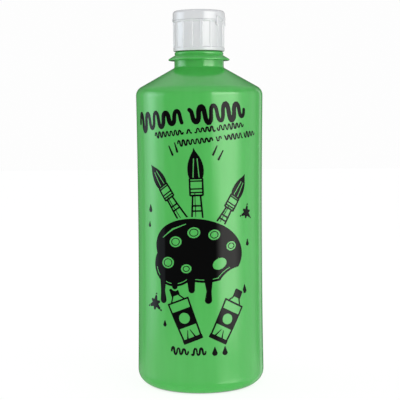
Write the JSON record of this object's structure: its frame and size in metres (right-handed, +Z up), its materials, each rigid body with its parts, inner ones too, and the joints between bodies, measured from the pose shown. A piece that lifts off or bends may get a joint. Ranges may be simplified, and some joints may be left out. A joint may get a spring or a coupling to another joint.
{
  "type": "flip-top squeeze bottle",
  "caption": "Round one-litre squeeze bottle with sloping shoulder and flanged neck, closed by a ribbed screw cap with a hinged flip-top lid.",
  "frame": {"origin": "on the bottle's axis, in the plane of the ring it stands on", "axes": "+Z up along the bottle's axis; -Y is the printed front; the lid's hinge is 66 degrees from -Y towards +X"},
  "size_m": [0.084, 0.084, 0.2464],
  "materials": {
    "bottle_plastic": "gloss",
    "paint": "satin",
    "liner_foam": "matte",
    "cap_plastic": "satin"
  },
  "bodies": {
    "bottle": {"bottle_shell": "bottle_plastic", "paint_fill": "paint"},
    "liner": {"sealing_liner": "liner_foam"},
    "cap": {"cap_base": "cap_plastic", "hinge_film": "cap_plastic", "hinge_strap_left": "cap_plastic", "hinge_strap_right": "cap_plastic"},
    "lid": {"flip_lid": "cap_plastic"}
  },
  "joints": [
    {"name": "cap_lift", "type": "slide", "parent": "bottle", "child": "liner", "axis": [0, 0, 1], "range_m": [0, 0.01905]},
    {"name": "cap_turn", "type": "hinge", "parent": "liner", "child": "cap", "pos_m": [0, 0, 0.2301], "axis": [0, 0, 1], "range_deg": [0, 1620]},
    {"name": "lid_flip", "type": "hinge", "parent": "cap", "child": "lid", "pos_m": [0.01562, -0.00696, 0.2401], "axis": [0.4067, 0.9135, 0], "range_deg": [0, 130], "deforming": ["hinge_film", "hinge_strap_left", "hinge_strap_right"]}
  ],
  "couplings": [
    {"joint": "cap_lift", "follows": "cap_turn", "m_per_rad": 0.0006737}
  ]
}
